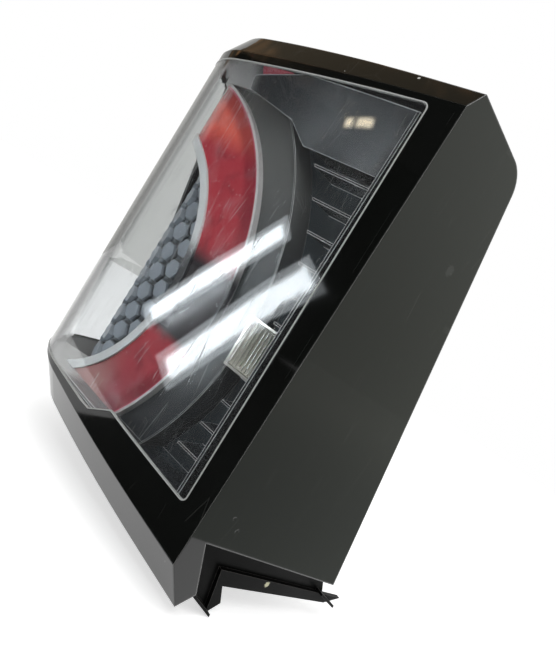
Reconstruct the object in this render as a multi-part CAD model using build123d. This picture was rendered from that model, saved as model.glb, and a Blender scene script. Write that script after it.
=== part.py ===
from build123d import *
import os
from math import sin, cos, asin, atan, radians, degrees, hypot, sqrt

# Rear lamp cluster of a car, in millimetres. While it is modelled, X runs along the
# lamp's front towards the flared side panel, Y runs back into the car body, Z is up,
# and zero is the lower end of the upright edge between the front and the side panel.
# The finished pieces are moved so that the origin is the middle of the stud pattern.

# Front skin, seen from above: a flat, a shallow crown, a tight corner and a side
FRONT_HEIGHT = 350.0
FRONT_WIDTH = 213.0
FRONT_FLAT = 40.0
CROWN_RADIUS = 1300.0
CORNER_RADIUS = 88.0
CORNER_TURN = 84.0
PANEL_FLARE = 15.0
WALL = 3.0

# Top edge: a chamfer up to a ridge, then a roof that falls to the back
RIDGE_RISE = 15.0
RIDGE_SETBACK = 9.4
TOP_TILT = 2.4
ROOF_SLOPE = 0.176

# Chin below the front: a sloped strip, a blunt foot and a return wall
CHIN_TILT = 7.0
CHIN_DROP = 32.0
CHIN_SETBACK = 22.7
FOOT_SETBACK = 34.4
FOOT_RISE = 11.0
RETURN_SETBACK = 15.3
RETURN_HEIGHT = 19.6

# Back rim of the cover and the lower edge of the side panel
RIM_FOOT_Y = 174.0
RIM_LEAN = 0.259
PANEL_CORNER = 24.0
BOTTOM_FALL = 0.13

# Clear window in the front, open to the left where it turns the corner
WINDOW_RIGHT_TOP = 24.0
WINDOW_RIGHT_BOTTOM = 19.0
WINDOW_TOP_BORDER = 6.0
WINDOW_BOTTOM = 35.0
WINDOW_TOP_FALL = 0.057
WINDOW_BOTTOM_RISE = 0.06
WINDOW_JOG_AT = 121.0
WINDOW_JOG_RUN = 25.0
WINDOW_JOG_DROP = 14.0
WINDOW_CORNER = 4.5
WINDOW_REAR_BORDER = 8.0

# Rear housing: a tray glued into the cover and a deep tub behind it
GLUE_GAP = 0.8
GLUE_INSET = 1.0
TRAY_WALL = 2.5
TRAY_SKIRT = 8.0
TUB_OVERHANG = 39.0
TUB_RIGHT = 34.0
TUB_BOTTOM = 44.0
TUB_TOP_DROP = 34.0
TUB_BACK_Y = 176.0
TUB_WALL = 2.5
TUB_CORNER = 14.0

# Ledge of the housing that shows below the side panel, measured along the panel
LEDGE_INSET = 8.0
LEDGE_THICKNESS = 4.0
LEDGE_START = 54.0
LEDGE_END = 196.0
LEDGE_POINT = 19.0
LEDGE_TOP = -5.0
LEDGE_FALL = 0.09
LEDGE_HEIGHT = 13.0
LEDGE_TAPER = 5.0
LEG_DROP = 38.0
LEG_LEAN = 11.0
LEG_WIDTH = 9.0
WEB_THICKNESS = 3.0
SILL_INSET = 3.0
SILL_THICKNESS = 2.5
SILL_START = -24.0
RAMP_RUN = 26.0
RAMP_FALL = 11.0

# Studs that hold the lamp to the car, their pads, and the foam round them
STUD_BORDER_X = 34.0
STUD_BORDER_Z = 28.0
STUD_RADIUS = 3.0
STUD_LENGTH = 22.0
STUD_HEAD_WIDTH = 13.0
STUD_HEAD = 3.0
STUD_NECK_WIDTH = 7.0
PAD_WIDTH = 22.0
PAD_HEIGHT = 6.0
GASKET_WIDTH = 9.0
GASKET_INSET = 3.0

# Locating pin level with the middle of the studs
PIN_RADIUS = 5.0
PIN_LENGTH = 12.0
PIN_FLANGE_WIDTH = 18.0

# Round tail light: rings about one centre, laid on surfaces parallel to the front
RING_X = -277.0
RING_Z = 143.0
GUIDE_INNER = 122.0
TAIL_INNER = 130.0
TAIL_OUTER = 180.0
SWEEP_INNER = 182.5
SWEEP_OUTER = 215.0
SWEEP_LIP = 1.5
RING_TURN = 60.0
RING_GAP = 0.2

# Depths below the outer skin
GUIDE_DEPTH = 18.0
TAIL_DEPTH = 20.0
SWEEP_DEPTH = 24.0
SWEEP_LIP_DEPTH = 20.0
RIB_DEPTH = 18.0
BEZEL_DEPTH = 47.0
BEZEL_EDGE_DEPTH = 4.0
TAIL_WALL = 3.0
SWEEP_WALL = 2.0
BEZEL_WALL = 2.5

# Dark tray that carries the inner pieces
BEZEL_RIGHT = 28.0
BEZEL_FLOOR = 30.0
CEILING_DROP = 25.0
BROW_RISE = 19.0
BROW_DEPTH = 20.0
HOOD_TIP = 190.0
HOOD_TIP_DROP = 3.0
HOOD_TIP_RISE = 8.0
HOOD_SHOULDER = 132.0
HOOD_BEND_DROP = 14.0
HOOD_FOOT = 111.0
HOOD_CORNER = 4.0
RIB_CIRCLE = 232.0
RIB_THICKNESS = 2.0
RIB_PITCH = 22.5
RIB_FIRST = 55.5
TOP_RIB_DROP = 28.0

# Honeycomb insert inside the ring
HEX_PITCH = 21.0
HEX_GAP = 2.8
HEX_HEIGHT = 5.0
HEX_DRAFT = 12.0
HEX_BASE = 2.0
HEX_SINK = 1.5
HEX_COLUMN_X = -205.5
HEX_ROW_Z = 143.5
HEX_COLUMNS = (-2, -1, 0, 1, 2)
HEX_ROWS = 5

# Tail light board and its light sources
BOARD_THICKNESS = 1.6
BOARD_MARGIN = 8.0
LED_SIZE = 5.0
LED_HEIGHT = 1.8
LED_FIRST = -32.0
LED_STEP = 9.0
LED_COUNT = 11

# Reverse light beside the ring
REVERSE_LEFT = 65.0
REVERSE_RIGHT = 33.0
REVERSE_BOTTOM = 123.5
REVERSE_TOP = 164.5
REVERSE_DEPTH = 18.0
REVERSE_LENGTH = 46.0
REVERSE_NARROWING = 7.0
REVERSE_WALL = 1.6
REVERSE_LENS = 3.0
FLUTE_COUNT = 9
FLUTE_SINK = 0.6
FLUTE_SIDES = 8
REVERSE_BOARD = 1.6
REVERSE_LED = 6.0
REVERSE_LED_HEIGHT = 2.0

# Red reflex strip on the brow of the tray
REFLEX_LEFT = 183.0
REFLEX_RIGHT = 132.0
REFLEX_THICKNESS = 2.5
REFLEX_RISE = 7.0
REFLEX_HEIGHT = 9.5

# Posts and screws that carry the dark tray
POST_CIRCLE = 199.0
POST_ANGLES = (-27.0, -5.0, 17.0, 39.0)
POST_RADIUS = 6.5
BOSS_FRONT = 1.2
BOSS_BACK = 6.0
SCREW_RADIUS = 1.5
SCREW_HEAD_RADIUS = 3.2
SCREW_HEAD = 2.2
SCREW_LENGTH = 16.0
SCREW_CLEARANCE = 0.15
SCREW_SIDES = 8
SCREW_HEAD_SIDES = 6

# Control unit in the tub, with the wiring socket through the back
MODULE_X = -150.0
MODULE_Z = 112.0
MODULE_WIDTH = 84.0
MODULE_HEIGHT = 54.0
MODULE_DEPTH = 18.0
MODULE_WALL = 2.0
MODULE_BOARD = 1.6
SOCKET_WIDTH = 26.0
SOCKET_HEIGHT = 17.0
SOCKET_LENGTH = 20.0
SOCKET_WALL = 1.8
SOCKET_FLOOR = 4.0
TERMINAL_COLUMNS = 3
TERMINAL_ROWS = 2
TERMINAL_PITCH = 6.0
TERMINAL_WIDTH = 1.5
TERMINAL_LENGTH = 11.0
FIT_GAP = 0.3

# Vent caps on the back
VENT_RADIUS = 9.0
VENT_HEIGHT = 5.0
VENT_SIDES = 12
VENT_X = -150.0
VENT_HEIGHTS = (225.0, 252.0)

FAR = 300.0
LOW = -90.0
HIGH = FRONT_HEIGHT - LOW
FLARE = radians(PANEL_FLARE)
CROWN_TURN = asin((FRONT_WIDTH - FRONT_FLAT) / CROWN_RADIUS)
MOUNT_Y = TUB_BACK_Y + PAD_HEIGHT
TUB_FLOOR_Y = TUB_BACK_Y - TUB_WALL
RIDGE_Z = FRONT_HEIGHT + RIDGE_RISE
BEZEL_BACK = BEZEL_DEPTH + BEZEL_WALL
RING_LOW = BEZEL_FLOOR + BEZEL_WALL
GLUE_DEPTH = WALL + GLUE_GAP
WINDOW_TOP = FRONT_HEIGHT - WINDOW_TOP_BORDER
BEZEL_CEILING = WINDOW_TOP - CEILING_DROP
BEZEL_BROW = BEZEL_CEILING + BROW_RISE
TOP_RIB_Z = BEZEL_CEILING - TOP_RIB_DROP
TUB_LEFT = FRONT_WIDTH + TUB_OVERHANG
TUB_TOP = FRONT_HEIGHT - TUB_TOP_DROP
STUD_SPACING_X = TUB_LEFT - TUB_RIGHT - 2 * STUD_BORDER_X
STUD_SPACING_Z = TUB_TOP - TUB_BOTTOM - 2 * STUD_BORDER_Z
STUD_CENTRE_X = (TUB_LEFT + TUB_RIGHT) / 2
STUD_CENTRE_Z = (TUB_TOP + TUB_BOTTOM) / 2
REVERSE_X = -(REVERSE_LEFT + REVERSE_RIGHT) / 2
REVERSE_Z = (REVERSE_TOP + REVERSE_BOTTOM) / 2
REFLEX_BOTTOM = BEZEL_CEILING + REFLEX_RISE


# Points of the front skin, d being the depth below it

def crown_point(turn, d):
    radius = CROWN_RADIUS - d
    return (-FRONT_FLAT - radius * sin(turn), CROWN_RADIUS - radius * cos(turn))


CORNER_X, CORNER_Y = crown_point(CROWN_TURN, CORNER_RADIUS)


def corner_point(turn, d):
    radius = CORNER_RADIUS - d
    return (CORNER_X - radius * sin(turn), CORNER_Y - radius * cos(turn))


def skin_at(x, d):
    """Depth along Y, and turn, of the skin at a place given by its X."""
    if x > -FRONT_FLAT:
        return d, 0.0
    turn = asin((-x - FRONT_FLAT) / (CROWN_RADIUS - d))
    if turn <= CROWN_TURN:
        return crown_point(turn, d)[1], turn
    turn = asin((CORNER_X - x) / (CORNER_RADIUS - d))
    return corner_point(turn, d)[1], turn


def skin_along(start_x, travel, d):
    """Place and turn reached from start_x by a travel to the left along the skin."""
    crown = CROWN_RADIUS - d
    corner = CORNER_RADIUS - d
    start = skin_at(start_x, d)[1]
    reached = min(start, CROWN_TURN) * crown + max(0.0, start - CROWN_TURN) * corner + travel
    if reached <= CROWN_TURN * crown:
        return crown_point(reached / crown, d), reached / crown
    turn = CROWN_TURN + (reached - CROWN_TURN * crown) / corner
    return corner_point(turn, d), turn


def skin_edges(d, start_x, end_turn):
    """Edges of the skin from a start on the flat, round to a turn of the corner."""
    first = crown_point(0, d)
    second = crown_point(CROWN_TURN, d)
    last = corner_point(end_turn, d)
    return [
        Line((start_x, d), first),
        ThreePointArc(first, crown_point(CROWN_TURN / 2, d), second),
        ThreePointArc(second, corner_point((CROWN_TURN + end_turn) / 2, d), last),
    ]


def plan_face(d, right=None):
    """All that lies deeper than d, closed by the side panel or by a plain right side."""
    end_turn = radians(CORNER_TURN)
    side = corner_point(end_turn, d)
    back = (side[0] - FAR * cos(end_turn), side[1] + FAR * sin(end_turn))
    if right is None:
        start_x = -d * (1 - sin(FLARE)) / cos(FLARE)
        rear = (start_x + (back[1] - d) * sin(FLARE) / cos(FLARE), back[1])
    else:
        start_x = right
        rear = (right, back[1])
    outline = skin_edges(d, start_x, end_turn)
    outline.append(Polyline(side, back, rear, (start_x, d)))
    return make_face(outline)


def band_face(d_front, d_back, right=-BEZEL_RIGHT, turn=RING_TURN):
    """Strip between two depths, from the right edge of the tray round to a turn."""
    end_turn = radians(turn)
    outline = skin_edges(d_front, right, end_turn) + skin_edges(d_back, right, end_turn)
    outline.append(Line((right, d_front), (right, d_back)))
    outline.append(Line(corner_point(end_turn, d_front), corner_point(end_turn, d_back)))
    return make_face(outline)


def upright(face, z_low, z_high):
    return extrude(Pos(0, 0, z_low) * face, amount=z_high - z_low, dir=(0, 0, 1))


def behind(d, right=None):
    return upright(plan_face(d, right), LOW, HIGH)


def sloped(d_low, z_low, d_high, z_high):
    """Solid behind a wall whose depth changes evenly from one height to another."""
    low = Pos(0, 0, z_low) * plan_face(d_low, FAR)
    high = Pos(0, 0, z_high) * plan_face(d_high, FAR)
    return loft([low, high], ruled=True)


def band(d_front, d_back, z_low, z_high, turn=RING_TURN):
    return upright(band_face(d_front, d_back, turn=turn), z_low, z_high)


def block(x_low, x_high, y_low, y_high, z_low, z_high):
    middle = Pos((x_low + x_high) / 2, (y_low + y_high) / 2, (z_low + z_high) / 2)
    return middle * Box(x_high - x_low, y_high - y_low, z_high - z_low)


def rod(x, y_low, y_high, z, radius):
    """Round bar along Y."""
    bar = Cylinder(radius, y_high - y_low, align=(Align.CENTER, Align.CENTER, Align.MIN))
    return Pos(x, y_low, z) * Rot(-90, 0, 0) * bar


def prism(x, y_low, y_high, z, radius, sides):
    """Bar along Y with a regular outline, for small hidden pieces and their holes."""
    outline = Plane((x, y_low, z), (1, 0, 0), (0, 1, 0)) * RegularPolygon(radius, sides)
    return extrude(outline, amount=y_high - y_low, dir=(0, 1, 0))


def square_bar(x, y_low, y_high, z, width):
    half = width / 2
    return block(x - half, x + half, y_low, y_high, z - half, z + half)


def ring(r_inner, r_outer):
    """Ring about the tail light's centre, through the whole depth."""
    outer = rod(RING_X, -FAR, FAR, RING_Z, r_outer)
    return outer - rod(RING_X, -FAR, FAR, RING_Z, r_inner)


def side_slab(points):
    """Shape given by points (y, z) in the side view, through the whole width."""
    outline = Plane.YZ * make_face(Polyline(*points, close=True))
    return extrude(Pos(-2 * FAR, 0, 0) * outline, amount=4 * FAR, dir=(1, 0, 0))


def rim_y(z):
    return RIM_FOOT_Y - RIM_LEAN * z


def bottom_z(y):
    return RETURN_HEIGHT - BOTTOM_FALL * (y - RETURN_SETBACK)


def roof_z(y):
    return RIDGE_Z - ROOF_SLOPE * (y - RIDGE_SETBACK)


def inside_wedge(k):
    """Side view in front of the rim and above the bottom edge, both drawn in by k."""
    rise = k * hypot(1, BOTTOM_FALL)
    inset = k * hypot(1, RIM_LEAN)
    low_z = (bottom_z(RIM_FOOT_Y - inset) + rise) / (1 - BOTTOM_FALL * RIM_LEAN)
    low_y = rim_y(low_z) - inset
    return side_slab([
        (-FAR, bottom_z(-FAR) + rise),
        (low_y, low_z),
        (rim_y(HIGH) - inset, HIGH),
        (-FAR, HIGH),
    ])


# Cover: one deep moulding with the front, the chin, the roof and the side panel

def roof_corner(t):
    """Upper back corner in the side view, before it is rounded."""
    drop = t * hypot(1, ROOF_SLOPE)
    inset = t * hypot(1, RIM_LEAN)
    z = (roof_z(RIM_FOOT_Y - inset) - drop) / (1 - ROOF_SLOPE * RIM_LEAN)
    return rim_y(z) - inset, z


TRAY_TOP = roof_corner(0)[1] - 1.3 * PANEL_CORNER


def under_roof(t):
    """Side view below the roof and in front of the rim, with its round corner."""
    corner = roof_corner(t)
    front_z = corner[1] + ROOF_SLOPE * (corner[0] + FAR)
    foot_y = corner[0] + RIM_LEAN * (corner[1] - LOW)
    outline = make_face(Polyline((-FAR, front_z), corner, (foot_y, LOW), (-FAR, LOW), close=True))
    tip = outline.vertices().sort_by_distance((corner[0], corner[1], 0))[0]
    outline = fillet(tip, PANEL_CORNER - t)
    outline = Pos(-2 * FAR, 0, 0) * (Plane.YZ * outline)
    return extrude(outline, amount=4 * FAR, dir=(1, 0, 0))


def top_chamfer(t):
    """What the chamfer along the top edge takes away."""
    lean = RIDGE_SETBACK / RIDGE_RISE
    inset = t * hypot(1, lean)
    reach = 3 * RIDGE_RISE
    cut = block(-2 * FAR, FAR, -FAR, 2 * FAR, -reach, reach)
    cut -= sloped(inset - lean * reach, -reach, inset + lean * reach, reach)
    return Pos(0, 0, FRONT_HEIGHT) * Rot(0, -TOP_TILT, 0) * cut


def chin_strip(t):
    """What the sloped strip below the front takes away."""
    lean = CHIN_SETBACK / CHIN_DROP
    inset = t * hypot(1, lean)
    high = 1.3 * CHIN_DROP
    low = -1.4 * CHIN_DROP
    cut = block(-2 * FAR, FAR, -FAR, 2 * FAR, -FAR, high)
    cut -= sloped(inset - lean * low, low, inset - lean * high, high)
    return Rot(0, CHIN_TILT, 0) * cut


def chin_foot(t):
    """What the blunt foot of the chin takes away behind and below it."""
    lean = (FOOT_SETBACK - CHIN_SETBACK) / FOOT_RISE
    inset = t * hypot(1, lean)
    low = -2 * FOOT_RISE
    high = 2 * FOOT_RISE
    cut = sloped(CHIN_SETBACK + lean * low - inset, low, CHIN_SETBACK + lean * high - inset, high)
    return Rot(0, CHIN_TILT, 0) * Pos(0, 0, -CHIN_DROP) * cut - inside_wedge(0)


def chin_return(t):
    """What lies behind the chin's return wall and below the bottom edge."""
    foot_z = FOOT_RISE - CHIN_DROP
    lean = (FOOT_SETBACK - RETURN_SETBACK) / (RETURN_HEIGHT - foot_z)
    inset = t * hypot(1, lean)
    low = foot_z - 4 * FOOT_RISE
    high = RETURN_HEIGHT + FOOT_RISE
    d_low = FOOT_SETBACK + lean * (foot_z - low) - inset
    d_high = RETURN_SETBACK - lean * (high - RETURN_HEIGHT) - inset
    cut = sloped(d_low, low, d_high, high)
    return cut - inside_wedge(0)


def cover_body(t):
    """Cover's outer form, drawn in by a thickness t."""
    body = behind(t) & under_roof(t)
    body -= top_chamfer(t)
    body -= chin_strip(t)
    body -= chin_foot(t)
    body -= chin_return(t)
    return body


def rim_opening():
    """Way out of the cover through its back, for the housing."""
    zone = side_slab([
        (rim_y(LOW) - 4 * WALL, LOW),
        (rim_y(LOW) + FAR, LOW),
        (rim_y(LOW) + FAR, TRAY_TOP + GLUE_GAP),
        (rim_y(TRAY_TOP) - 4 * WALL, TRAY_TOP + GLUE_GAP),
    ])
    return behind(WALL) & zone


def window():
    """Outline of the clear window, through the front and round the left side."""
    left = 2 * FAR
    jog_start = WINDOW_BOTTOM + WINDOW_BOTTOM_RISE * WINDOW_JOG_AT
    jog_end_x = WINDOW_JOG_AT + WINDOW_JOG_RUN
    jog_end = jog_start - WINDOW_JOG_DROP
    points = [
        (-WINDOW_RIGHT_TOP, WINDOW_TOP),
        (-WINDOW_RIGHT_BOTTOM, WINDOW_BOTTOM),
        (-WINDOW_JOG_AT, jog_start),
        (-jog_end_x, jog_end),
        (-left, jog_end + WINDOW_BOTTOM_RISE * (left - jog_end_x)),
        (-left, WINDOW_TOP - WINDOW_TOP_FALL * left),
    ]
    outline = make_face(Polyline(*points, close=True))
    corners = [v for v in outline.vertices() if v.X > -left + 1]
    outline = fillet(corners, WINDOW_CORNER)
    outline = Pos(0, -FAR, 0) * (Plane.XZ * outline)
    through = extrude(outline, amount=2 * FAR, dir=(0, 1, 0))
    return through & inside_wedge(WINDOW_REAR_BORDER)


def cover_pieces():
    shell = cover_body(0) - cover_body(WALL) - rim_opening()
    opening = window()
    return shell - opening, shell & opening


# Rear housing

def tub_form(inset, y_low, y_high):
    width = TUB_LEFT - TUB_RIGHT - 2 * inset
    height = TUB_TOP - TUB_BOTTOM - 2 * inset
    outline = chamfer(Rectangle(width, height).vertices(), TUB_CORNER - inset * (2 - sqrt(2)))
    place = Plane((-(TUB_LEFT + TUB_RIGHT) / 2, y_low, (TUB_TOP + TUB_BOTTOM) / 2), (1, 0, 0), (0, 1, 0))
    return extrude(place * outline, amount=y_high - y_low, dir=(0, 1, 0))


def below(z):
    return block(-2 * FAR, FAR, -FAR, 2 * FAR, LOW - FAR, z)


def tray_shell():
    outer = behind(GLUE_DEPTH) & inside_wedge(0) & below(TRAY_TOP)
    outer -= chin_strip(GLUE_DEPTH)
    hollow_depth = GLUE_DEPTH + TRAY_WALL
    inner = behind(hollow_depth) & inside_wedge(TRAY_WALL) & below(TRAY_TOP - TRAY_WALL)
    inner -= chin_strip(hollow_depth)
    return outer - inner - inside_wedge(TRAY_SKIRT)


def panel_plate(points, inset, thickness):
    """Plate parallel to the side panel, drawn by points (along the panel, z)."""
    along = (sin(FLARE), cos(FLARE), 0)
    inward = (-cos(FLARE), sin(FLARE), 0)
    start = (inset * inward[0], inset * inward[1], 0)
    face = Plane(start, along, inward) * make_face(Polyline(*points, close=True))
    return extrude(face, amount=thickness, dir=inward)


def ledge():
    """Trough below the panel: a lip with a leg, the web behind it, and its two open ends."""
    def lip_top(s):
        return LEDGE_TOP - LEDGE_FALL * (s - LEDGE_START)

    def chin_side(z, inset):
        """Place along the panel that clears the chin's return wall."""
        lean = (FOOT_SETBACK - RETURN_SETBACK) / (RETURN_HEIGHT - FOOT_RISE + CHIN_DROP)
        y = RETURN_SETBACK + lean * (RETURN_HEIGHT - z) + 2 * GLUE_GAP
        return (y - inset * sin(FLARE)) / cos(FLARE)

    def mirrored(points):
        return [(s, -z) for s, z in points]

    leg_s = LEDGE_START + LEG_LEAN
    foot_z = lip_top(LEDGE_START) - LEG_DROP
    web_inset = LEDGE_INSET + LEDGE_THICKNESS
    lip_low = lip_top(leg_s) - LEDGE_HEIGHT
    lip = [
        (LEDGE_START, lip_top(LEDGE_START)),
        (LEDGE_END, lip_top(LEDGE_END)),
        (LEDGE_END + LEDGE_POINT, lip_top(LEDGE_END + LEDGE_POINT)),
        (LEDGE_END, lip_top(LEDGE_END) - LEDGE_HEIGHT + LEDGE_TAPER),
        (leg_s, lip_low),
        (leg_s + LEG_WIDTH, foot_z + LEG_WIDTH),
        (leg_s, foot_z),
    ]
    web_start = chin_side(RETURN_HEIGHT, web_inset)
    web_end = RIM_FOOT_Y / cos(FLARE) - TRAY_WALL
    lift = TRAY_WALL / 2
    web = [
        (web_start, bottom_z(web_start * cos(FLARE)) + lift),
        (web_end, bottom_z(web_end * cos(FLARE)) + lift),
        (LEDGE_END, lip_top(LEDGE_END) - LEDGE_HEIGHT / 2),
        (leg_s, lip_top(leg_s) - LEDGE_HEIGHT / 2),
        (leg_s + LEG_WIDTH / 2, foot_z + LEG_WIDTH / 2),
        (leg_s, foot_z),
        (chin_side(SILL_START, web_inset), SILL_START - SILL_THICKNESS),
    ]
    sill_s = chin_side(SILL_START, SILL_INSET)
    sill = [
        (sill_s, SILL_START),
        (leg_s, foot_z + SILL_THICKNESS),
        (leg_s, foot_z),
        (sill_s, SILL_START - SILL_THICKNESS),
    ]
    ramp_z = lip_top(LEDGE_END) - LEDGE_HEIGHT / 2
    ramp = [
        (LEDGE_END + LEDGE_POINT / 2 - RAMP_RUN, ramp_z + RAMP_FALL),
        (LEDGE_END + LEDGE_POINT / 2, ramp_z),
        (LEDGE_END + LEDGE_POINT / 2, ramp_z - SILL_THICKNESS),
        (LEDGE_END + LEDGE_POINT / 2 - RAMP_RUN, ramp_z + RAMP_FALL - SILL_THICKNESS),
    ]
    trough = panel_plate(mirrored(lip), LEDGE_INSET, LEDGE_THICKNESS)
    trough += panel_plate(mirrored(web), web_inset, WEB_THICKNESS)
    trough += panel_plate(mirrored(sill), SILL_INSET, web_inset - SILL_INSET)
    return trough + panel_plate(mirrored(ramp), SILL_INSET, web_inset - SILL_INSET)


def stud_places():
    return [
        (-STUD_CENTRE_X + side * STUD_SPACING_X / 2, STUD_CENTRE_Z + level * STUD_SPACING_Z / 2)
        for side in (-1, 1)
        for level in (-1, 1)
    ]


def post_places():
    return [
        (RING_X + POST_CIRCLE * cos(radians(a)), RING_Z + POST_CIRCLE * sin(radians(a)))
        for a in POST_ANGLES
    ]


def boss_faces(x):
    """Front and back of the tray's screw boss at a place given by its X."""
    wall_y = skin_at(x, BEZEL_DEPTH)[0]
    return wall_y - BOSS_FRONT, wall_y + BOSS_BACK


def socket_form(grow, y_low, y_high):
    width = SOCKET_WIDTH / 2 + grow
    height = SOCKET_HEIGHT / 2 + grow
    return block(MODULE_X - width, MODULE_X + width, y_low, y_high, MODULE_Z - height, MODULE_Z + height)


def rear_housing():
    tub = tub_form(0, 0, TUB_BACK_Y) - inside_wedge(TRAY_WALL)
    housing = tray_shell() + tub
    housing -= tub_form(TUB_WALL, 0, TUB_FLOOR_Y)
    for x, z in post_places():
        housing += prism(x, boss_faces(x)[1], TUB_BACK_Y - TUB_WALL / 2, z, POST_RADIUS, SCREW_SIDES)
    for x, z in stud_places():
        housing += square_bar(x, TUB_BACK_Y - TUB_WALL / 2, MOUNT_Y, z, PAD_WIDTH)
    housing += ledge()
    for x, z in post_places():
        hole_end = boss_faces(x)[0] + SCREW_LENGTH + SCREW_RADIUS
        housing -= prism(x, 0, hole_end, z, SCREW_RADIUS + SCREW_CLEARANCE, SCREW_SIDES)
    for x, z in stud_places():
        housing -= square_bar(x, 0, MOUNT_Y + PAD_HEIGHT, z, STUD_NECK_WIDTH + 2 * SCREW_CLEARANCE)
    housing -= socket_form(FIT_GAP, TUB_FLOOR_Y - TUB_WALL, MOUNT_Y)
    return housing


def lens_seal():
    """Bead of sealant between the cover's walls and the skirt of the tray."""
    gap = behind(WALL) - chin_strip(WALL)
    gap -= behind(GLUE_DEPTH) - chin_strip(GLUE_DEPTH)
    gap &= inside_wedge(GLUE_INSET) & below(TRAY_TOP)
    return gap - inside_wedge(TRAY_SKIRT - GLUE_INSET)


def body_gasket():
    outer = tub_form(GASKET_INSET, TUB_BACK_Y, MOUNT_Y)
    return outer - tub_form(GASKET_INSET + GASKET_WIDTH, TUB_BACK_Y, MOUNT_Y)


def mounting_studs():
    studs = []
    for x, z in stud_places():
        stud = square_bar(x, TUB_FLOOR_Y - STUD_HEAD, TUB_FLOOR_Y, z, STUD_HEAD_WIDTH)
        stud += square_bar(x, TUB_FLOOR_Y, MOUNT_Y, z, STUD_NECK_WIDTH)
        stud += rod(x, MOUNT_Y, MOUNT_Y + STUD_LENGTH, z, STUD_RADIUS)
        studs.append(stud)
    return studs


def locating_pin():
    x = -STUD_CENTRE_X + STUD_SPACING_X / 2
    z = STUD_CENTRE_Z
    flange = square_bar(x, TUB_BACK_Y, MOUNT_Y, z, PIN_FLANGE_WIDTH)
    return flange + rod(x, MOUNT_Y, MOUNT_Y + PIN_LENGTH, z, PIN_RADIUS)


def vent_caps():
    top = TUB_BACK_Y + VENT_HEIGHT
    return [prism(VENT_X, TUB_BACK_Y, top, z, VENT_RADIUS, VENT_SIDES) for z in VENT_HEIGHTS]


# Control unit and wiring socket

def module_form(grow, y_low, y_high):
    width = MODULE_WIDTH / 2 + grow
    height = MODULE_HEIGHT / 2 + grow
    return block(MODULE_X - width, MODULE_X + width, y_low, y_high, MODULE_Z - height, MODULE_Z + height)


MODULE_FRONT_Y = TUB_FLOOR_Y - MODULE_DEPTH


def module_case():
    case = module_form(0, MODULE_FRONT_Y, TUB_FLOOR_Y)
    case -= module_form(-MODULE_WALL, MODULE_FRONT_Y - MODULE_WALL, TUB_FLOOR_Y - MODULE_WALL)
    return case - socket_form(FIT_GAP, MODULE_FRONT_Y, MOUNT_Y)


def module_lid():
    lid = module_form(0, MODULE_FRONT_Y - MODULE_WALL, MODULE_FRONT_Y)
    plug = module_form(-MODULE_WALL - FIT_GAP, MODULE_FRONT_Y, MODULE_FRONT_Y + MODULE_WALL)
    return lid + plug


def module_board():
    front = MODULE_FRONT_Y + MODULE_WALL
    return module_form(-MODULE_WALL - FIT_GAP, front, front + MODULE_BOARD)


def connector_socket():
    back = MOUNT_Y + SOCKET_LENGTH
    front = MODULE_FRONT_Y + MODULE_WALL + MODULE_BOARD
    socket = socket_form(0, front, back)
    socket -= socket_form(-SOCKET_WALL, TUB_FLOOR_Y + SOCKET_FLOOR, back + SOCKET_WALL)
    for x, z in terminal_places():
        hole = TERMINAL_WIDTH / 2
        socket -= block(x - hole, x + hole, front, back, z - hole, z + hole)
    return socket


def terminal_places():
    return [
        (MODULE_X + (i - (TERMINAL_COLUMNS - 1) / 2) * TERMINAL_PITCH,
         MODULE_Z + (j - (TERMINAL_ROWS - 1) / 2) * TERMINAL_PITCH)
        for i in range(TERMINAL_COLUMNS)
        for j in range(TERMINAL_ROWS)
    ]


def connector_terminals():
    front = MODULE_FRONT_Y + MODULE_WALL + MODULE_BOARD
    tip = TUB_FLOOR_Y + SOCKET_FLOOR + TERMINAL_LENGTH
    half = TERMINAL_WIDTH / 2
    return [block(x - half, x + half, front, tip, z - half, z + half) for x, z in terminal_places()]


# Reverse light

def reverse_form(grow, y_low, y_high):
    """Tapered box of the reverse light, grown sideways, between two depths."""
    lean = REVERSE_NARROWING / REVERSE_LENGTH
    drawn = lean * (y_low - REVERSE_DEPTH) - grow
    width = REVERSE_LEFT - REVERSE_RIGHT - 2 * drawn
    height = REVERSE_TOP - REVERSE_BOTTOM - 2 * drawn
    place = Plane((REVERSE_X, y_low, REVERSE_Z), (1, 0, 0), (0, 1, 0))
    outline = place * Rectangle(width, height)
    return extrude(outline, amount=y_high - y_low, taper=degrees(atan(lean)))


REVERSE_BACK_Y = REVERSE_DEPTH + REVERSE_LENGTH


def reverse_reflector():
    cup = reverse_form(0, REVERSE_DEPTH, REVERSE_BACK_Y)
    return cup - reverse_form(-REVERSE_WALL, REVERSE_DEPTH - 1, REVERSE_BACK_Y + 1)


def reverse_lens():
    lens = reverse_form(-REVERSE_WALL - FIT_GAP, REVERSE_DEPTH, REVERSE_DEPTH + REVERSE_LENS)
    box = lens.bounding_box()
    pitch = box.size.X / FLUTE_COUNT
    middle_z = (box.min.Z + box.max.Z) / 2
    for i in range(FLUTE_COUNT):
        x = box.min.X + (i + 0.5) * pitch
        bead = extrude(RegularPolygon(pitch / 2, FLUTE_SIDES), amount=box.size.Z / 2 - REVERSE_WALL, both=True)
        lens += Pos(x, REVERSE_DEPTH + FLUTE_SINK, middle_z) * bead
    return lens


def reverse_board():
    return reverse_form(0, REVERSE_BACK_Y, REVERSE_BACK_Y + REVERSE_BOARD)


def reverse_led():
    front = REVERSE_BACK_Y - REVERSE_LED_HEIGHT
    return square_bar(REVERSE_X, front, REVERSE_BACK_Y, REVERSE_Z, REVERSE_LED)


# Dark tray behind the lens

def slanted_wall(d_low, z_low, d_high, z_high, thickness):
    """Wall of the tray that comes forward as it rises."""
    low = Pos(0, 0, z_low) * band_face(d_low, d_low + thickness)
    high = Pos(0, 0, z_high) * band_face(d_high, d_high + thickness)
    return loft([low, high], ruled=True)


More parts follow.
